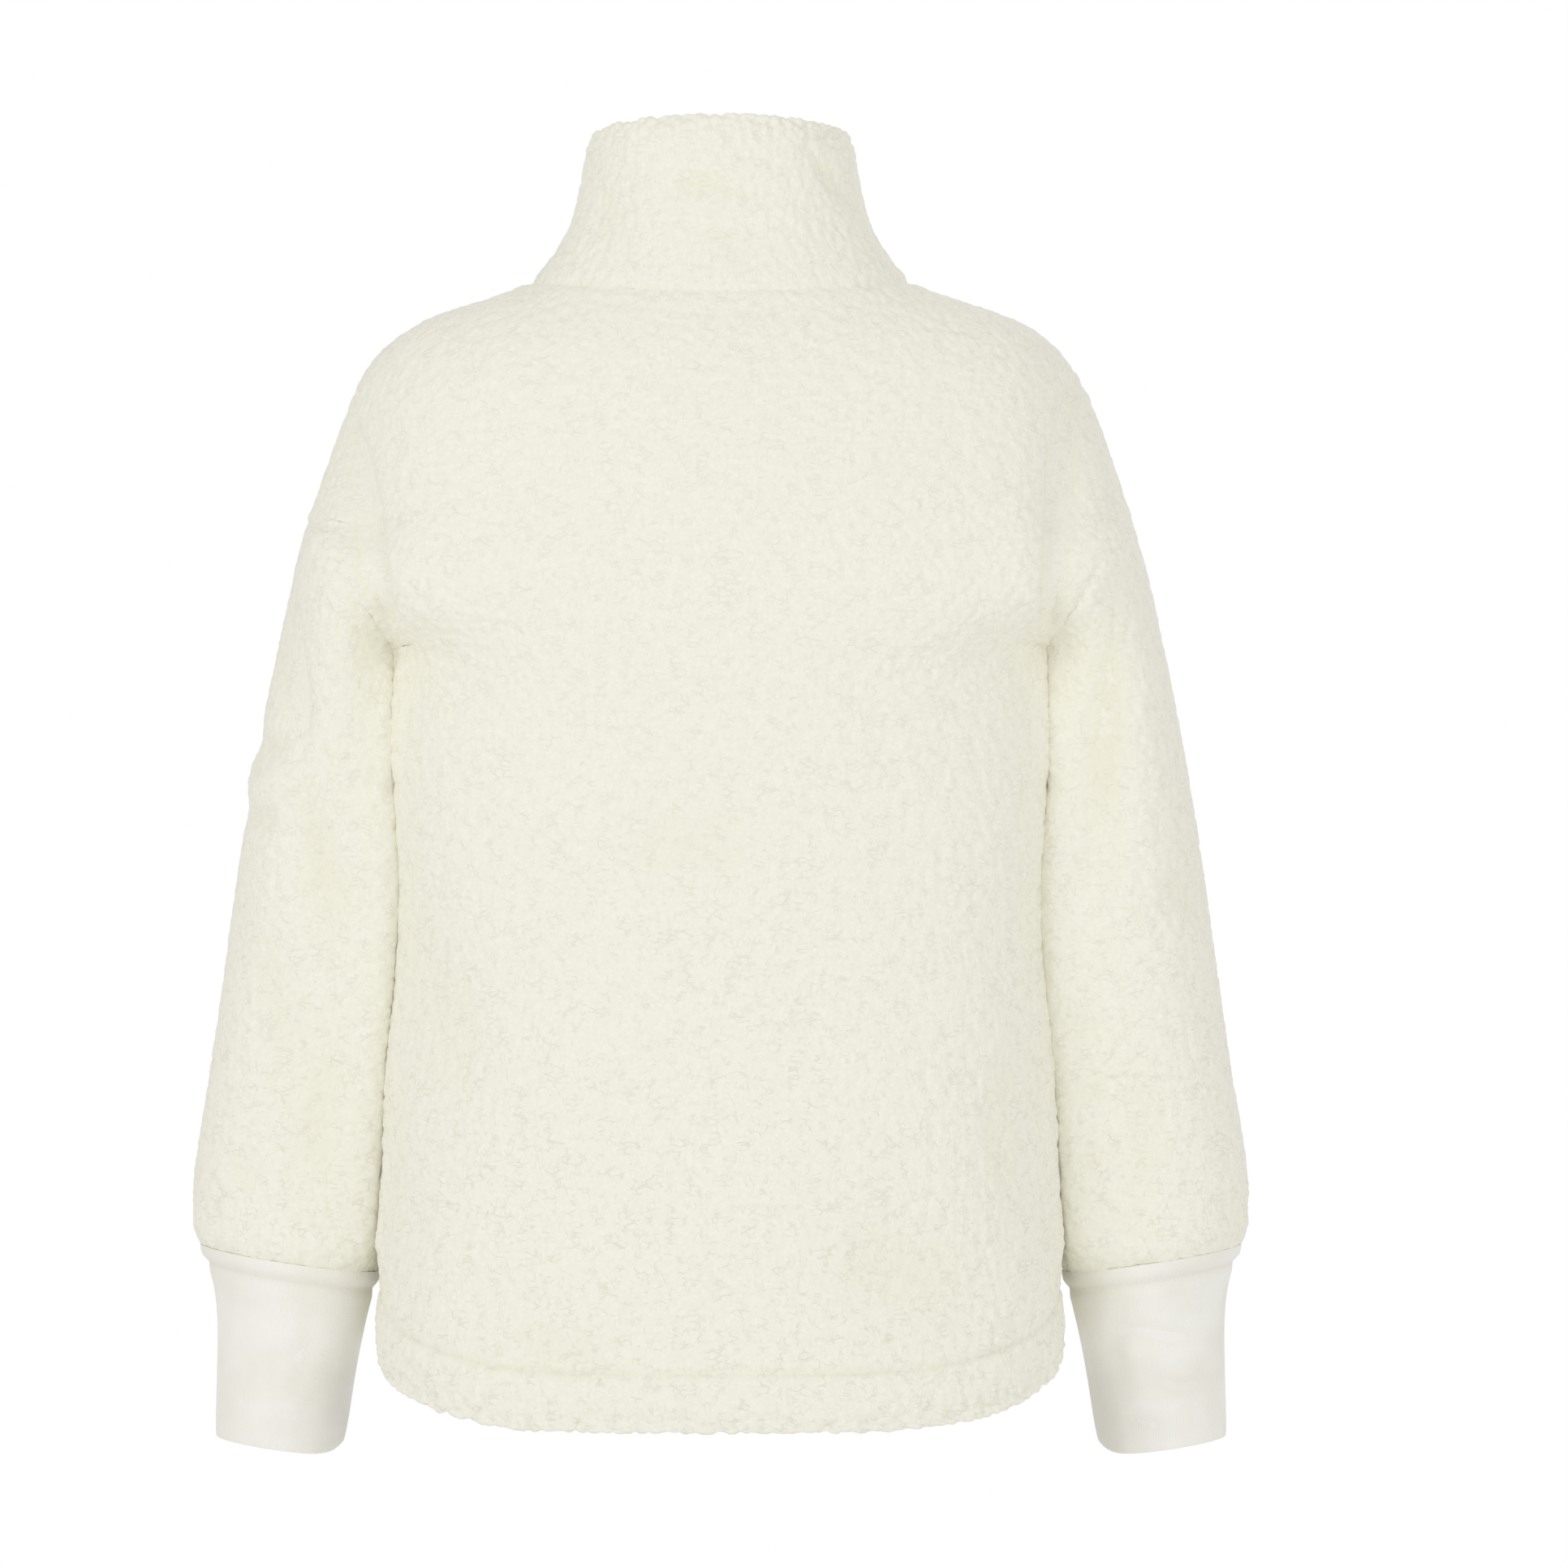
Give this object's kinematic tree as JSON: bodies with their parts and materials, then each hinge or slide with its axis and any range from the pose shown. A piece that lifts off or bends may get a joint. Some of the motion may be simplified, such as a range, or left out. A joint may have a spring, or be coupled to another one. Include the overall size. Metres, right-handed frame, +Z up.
{
  "type": "fleece jacket",
  "caption": "Curly pile fleece jacket with a stand collar, drop shoulders, full sleeves, knit cuffs, a curved hem and a full-length front zip, filled out and hollow.",
  "frame": {"origin": "middle of the neck base, level with the high points of the shoulders, where the wearer holds the jacket up", "axes": "+Z up, +Y out of the front, +X to the wearer's right"},
  "size_m": [0.6182, 0.2548, 0.77],
  "materials": {
    "fleece": "curly pile",
    "knit": "smooth jersey",
    "tape": "woven",
    "zip_plastic": "moulded",
    "zip_metal": "satin plated"
  },
  "bodies": {
    "jacket": {"back": "fleece", "front_left": "fleece", "front_right": "fleece", "sleeve_left": "fleece", "sleeve_right": "fleece", "collar": "fleece", "cuff_left": "knit", "cuff_right": "knit", "zip_tape_left": "tape", "zip_tape_right": "tape", "zip_chain": "zip_plastic", "zip_box": "zip_plastic", "zip_slider": "zip_metal"},
    "pull_tab": {"zip_pull": "zip_metal"}
  },
  "joints": [
    {"name": "pull_tab_swing", "type": "hinge", "parent": "jacket", "child": "pull_tab", "pos_m": [0, 0.07368, 0.05298], "axis": [1, 0, 0], "range_deg": [0, 165]}
  ]
}
